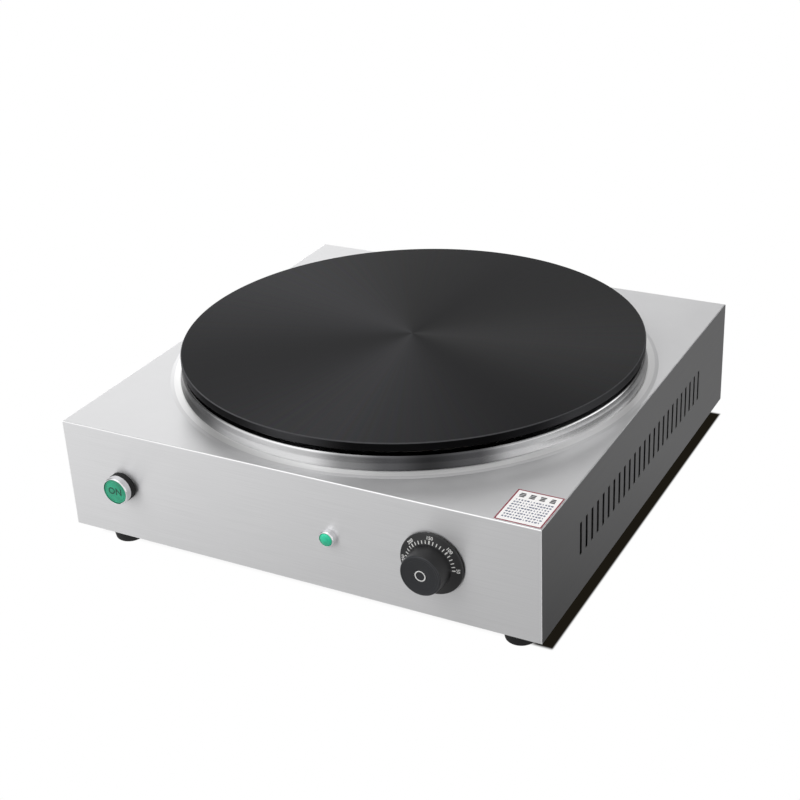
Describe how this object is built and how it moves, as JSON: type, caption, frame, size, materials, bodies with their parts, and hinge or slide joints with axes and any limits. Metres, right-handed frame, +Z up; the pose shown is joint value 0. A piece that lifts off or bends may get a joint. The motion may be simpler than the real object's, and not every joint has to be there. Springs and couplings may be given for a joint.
{
  "type": "electric crepe maker",
  "caption": "Electric crepe maker: a round cast iron griddle on a boxed stainless casing with a thermostat knob, a lit push button and a pilot lamp.",
  "frame": {"origin": "on the ground under the middle of the casing", "axes": "+Z up, the controls face -Y, +X to the right when facing the controls"},
  "size_m": [0.427, 0.4724, 0.1437],
  "materials": {
    "casing_stainless": "fine brushed stainless sheet",
    "polished_stainless": "polished spun stainless",
    "seasoned_iron": "turned and seasoned, matt black",
    "black_moulded": "satin moulded, black",
    "knob_cap_black": "plain black disc",
    "black_rubber": "matt",
    "chromed_bezel": "bright plated",
    "green_lens": "translucent green",
    "lamp_lens_green": "translucent green",
    "sticker_paper": "coated, blank, red border",
    "ceramic_blanket": "soft ceramic fibre",
    "galvanised_sheet": "zinc coated steel",
    "element_sheath": "heat-tinted tube",
    "thermostat_case": "pressed steel",
    "brass_parts": "plain",
    "copper_tube": "copper, dull",
    "moulded_grey": "moulded",
    "moulded_white": "moulded",
    "zinc_steel": "zinc plated steel",
    "spring_steel": "drawn wire",
    "gland_nylon": "black polyamide",
    "lead_silicone": "silicone sleeved"
  },
  "bodies": {
    "casing": {"base_plate": "galvanised_sheet", "base_screws": "zinc_steel", "button_bezel": "chromed_bezel", "button_gasket": "black_rubber", "button_locknut": "moulded_grey", "button_spring": "spring_steel", "cable_gland_body": "gland_nylon", "casing_shell": "casing_stainless", "component_screws": "zinc_steel", "contact_block": "moulded_grey", "contactor_base": "moulded_grey", "contactor_cover": "moulded_grey", "cross_bar_front": "galvanised_sheet", "cross_bar_rear": "galvanised_sheet", "earth_nut": "brass_parts", "earth_stud": "brass_parts", "element_clamp_plate": "galvanised_sheet", "foot_front_left": "black_rubber", "foot_front_right": "black_rubber", "foot_nuts": "zinc_steel", "foot_rear_left": "black_rubber", "foot_rear_right": "black_rubber", "foot_screws": "zinc_steel", "foot_washers": "zinc_steel", "gland_dome_nut": "gland_nylon", "gland_locknut": "gland_nylon", "gland_seal": "black_rubber", "griddle_plate": "seasoned_iron", "heat_shield": "galvanised_sheet", "heating_element_inner": "element_sheath", "heating_element_outer": "element_sheath", "insulation_blanket": "ceramic_blanket", "label_sticker": "sticker_paper", "lamp_bezel": "chromed_bezel", "lamp_body": "moulded_grey", "lamp_lens": "lamp_lens_green", "lamp_nut": "zinc_steel", "lead_button": "lead_silicone", "lead_inner_element": "lead_silicone", "lead_lamp": "lead_silicone", "lead_outer_element": "lead_silicone", "lead_supply": "lead_silicone", "lead_thermostat": "lead_silicone", "plate_collar": "polished_stainless", "plate_studs": "zinc_steel", "stud_nuts": "zinc_steel", "stud_spacers": "zinc_steel", "terminal_block": "moulded_white", "terminal_screws": "zinc_steel", "thermostat_body": "thermostat_case", "thermostat_bulb": "copper_tube", "thermostat_bush": "brass_parts", "thermostat_capillary": "copper_tube", "thermostat_screws": "zinc_steel"},
    "knob": {"thermostat_shaft": "zinc_steel", "temperature_knob": "black_moulded", "knob_cap": "knob_cap_black"},
    "button": {"button_cap": "green_lens", "button_plunger": "moulded_white"}
  },
  "joints": [
    {"name": "knob_turn", "type": "hinge", "parent": "casing", "child": "knob", "pos_m": [0.126, -0.215, 0.0704], "axis": [0, 1, 0], "range_deg": [-135, 135]},
    {"name": "button_press", "type": "slide", "parent": "casing", "child": "button", "axis": [0, 1, 0], "range_m": [0, 0.003], "stiffness_N_per_m": 600, "springref_m": -0.003, "deforming": ["button_spring"]}
  ]
}
